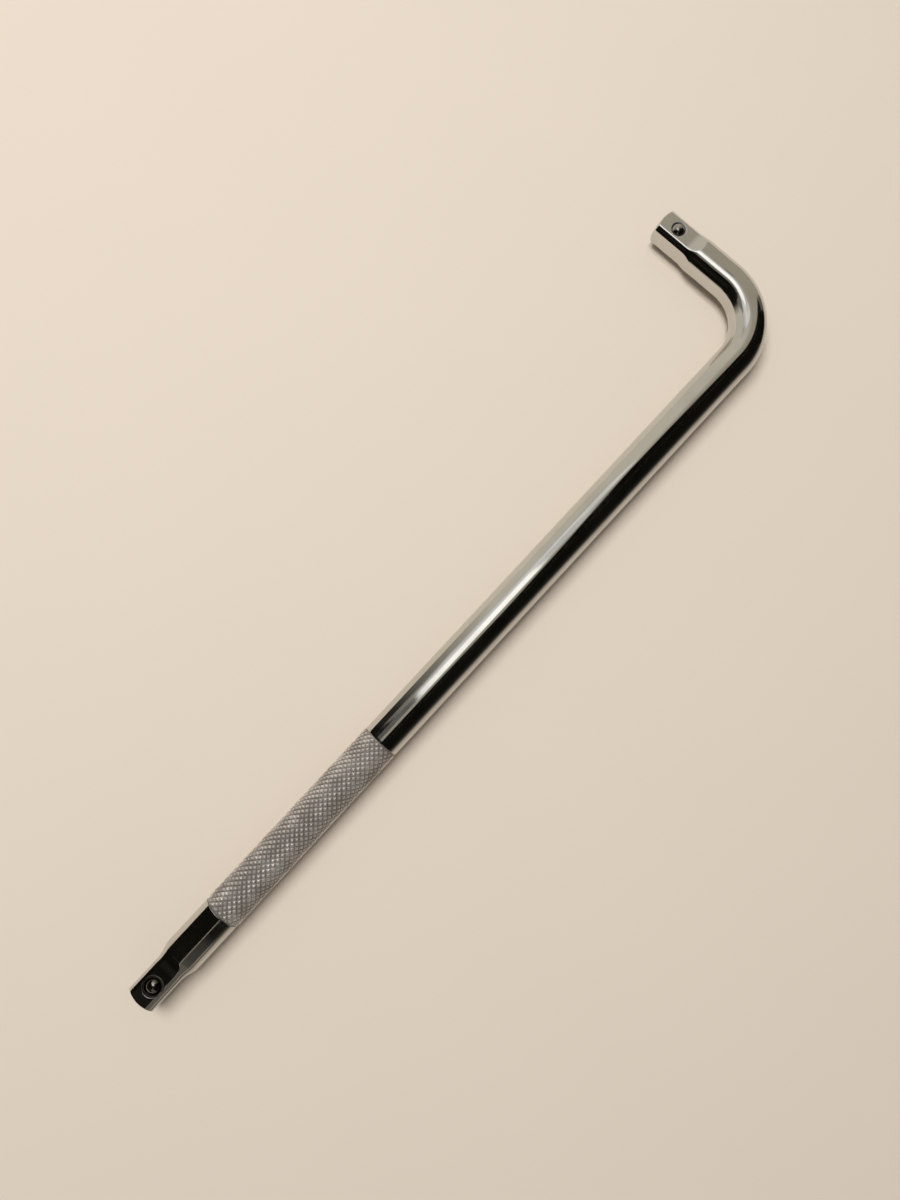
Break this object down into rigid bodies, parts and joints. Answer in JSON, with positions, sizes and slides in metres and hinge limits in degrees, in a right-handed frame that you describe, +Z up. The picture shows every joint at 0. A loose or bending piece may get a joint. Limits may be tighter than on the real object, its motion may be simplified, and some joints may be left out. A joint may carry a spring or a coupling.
{
  "type": "l-handle socket wrench",
  "caption": "Bent L-shaped bar handle for sockets, with a square drive and sprung detent ball at each end and a knurled grip on the long arm.",
  "frame": {"origin": "middle of the footprint at floor level, with the tool lying flat", "axes": "+X along the long arm from its drive square towards the bend, +Y along the short arm towards its drive square, +Z up, the way both detent balls face"},
  "size_m": [0.388, 0.0722, 0.0164],
  "materials": {
    "plated_bar": "bright chrome plate, satin where the grip is knurled",
    "ball_steel": "polished hardened steel",
    "spring_wire": "drawn spring wire"
  },
  "bodies": {
    "handle": {"bar": "plated_bar", "long_drive_spring": "spring_wire", "short_drive_spring": "spring_wire"},
    "long_ball": {"long_drive_ball": "ball_steel"},
    "short_ball": {"short_drive_ball": "ball_steel"}
  },
  "joints": [
    {"name": "long_ball_press", "type": "slide", "parent": "handle", "child": "long_ball", "axis": [0, 0, -1], "range_m": [0, 0.0015], "stiffness_N_per_m": 4400, "springref_m": -0.0015, "deforming": ["long_drive_spring"]},
    {"name": "short_ball_press", "type": "slide", "parent": "handle", "child": "short_ball", "axis": [0, 0, -1], "range_m": [0, 0.0015], "stiffness_N_per_m": 4400, "springref_m": -0.0015, "deforming": ["short_drive_spring"]}
  ]
}
